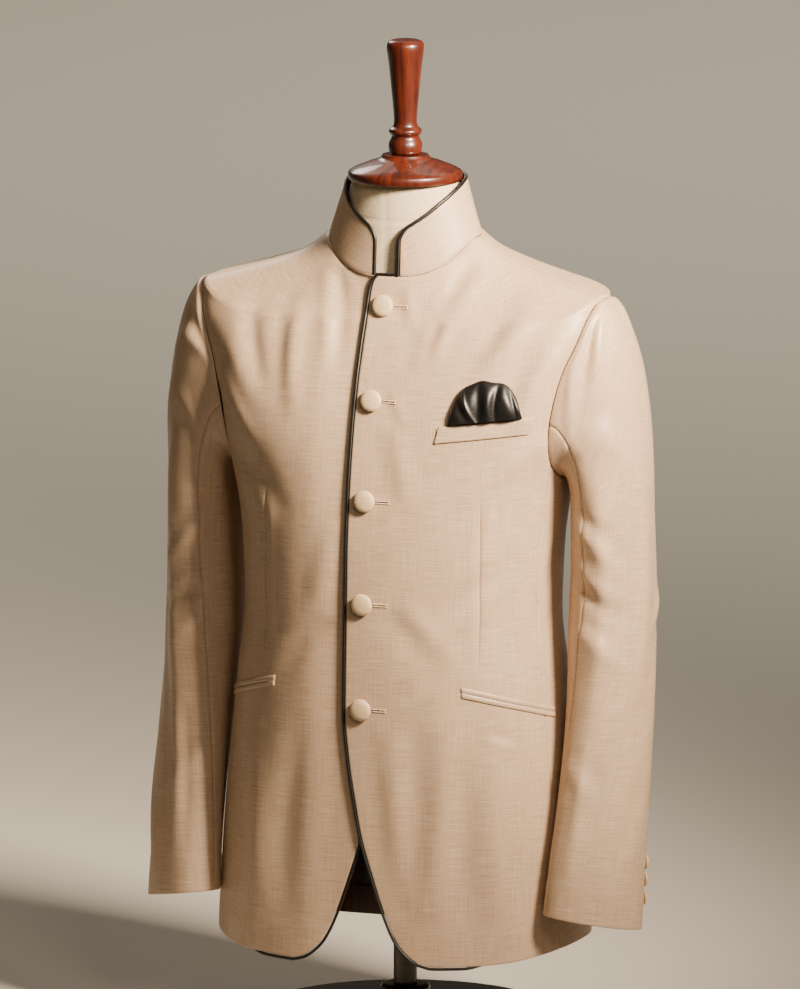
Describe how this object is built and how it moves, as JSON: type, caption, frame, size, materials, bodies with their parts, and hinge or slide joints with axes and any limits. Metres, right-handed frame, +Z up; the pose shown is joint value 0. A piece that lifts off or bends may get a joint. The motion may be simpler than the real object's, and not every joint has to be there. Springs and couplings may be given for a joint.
{
  "type": "jodhpuri coat on a dress form",
  "caption": "Buttoned raw silk jodhpuri coat with a stand collar, black satin piping and a puffed pocket square, on a limbless dress form with a turned wood cap and a low metal stand.",
  "frame": {"origin": "centre of the underside of the stand's round foot, on the floor", "axes": "+Z up, the coat's front faces -Y, the wearer's left is +X"},
  "size_m": [0.5474, 0.32, 1.0403],
  "materials": {
    "raw_silk": "champagne raw silk with fine slubs and a soft sheen",
    "covered_button": "domed buttons covered in the coat's cloth",
    "black_satin": "glossy black satin",
    "cream_linen": "plain cream linen stretched smooth",
    "dark_wood": "dark brown, satin varnish",
    "mahogany": "red-brown, glossy varnish",
    "dark_metal": "dark polished steel"
  },
  "bodies": {
    "root": {"front_left": "raw_silk", "front_right": "raw_silk", "side_left": "raw_silk", "side_right": "raw_silk", "back_left": "raw_silk", "back_right": "raw_silk", "sleeve_top_left": "raw_silk", "sleeve_top_right": "raw_silk", "sleeve_under_left": "raw_silk", "sleeve_under_right": "raw_silk", "collar": "raw_silk", "breast_welt": "raw_silk", "hip_welt_left": "raw_silk", "hip_welt_right": "raw_silk", "button_1": "covered_button", "button_2": "covered_button", "button_3": "covered_button", "button_4": "covered_button", "button_5": "covered_button", "cuff_button_left_1": "covered_button", "cuff_button_left_2": "covered_button", "cuff_button_left_3": "covered_button", "cuff_button_right_1": "covered_button", "cuff_button_right_2": "covered_button", "cuff_button_right_3": "covered_button", "piping_front_left": "black_satin", "piping_front_right": "black_satin", "piping_collar": "black_satin", "pocket_square": "black_satin", "form_torso": "cream_linen", "form_block": "dark_wood", "form_neck_cap": "mahogany", "form_finial": "mahogany", "stand_pole": "dark_metal", "stand_socket": "dark_metal", "stand_foot": "dark_metal"}
  },
  "joints": []
}
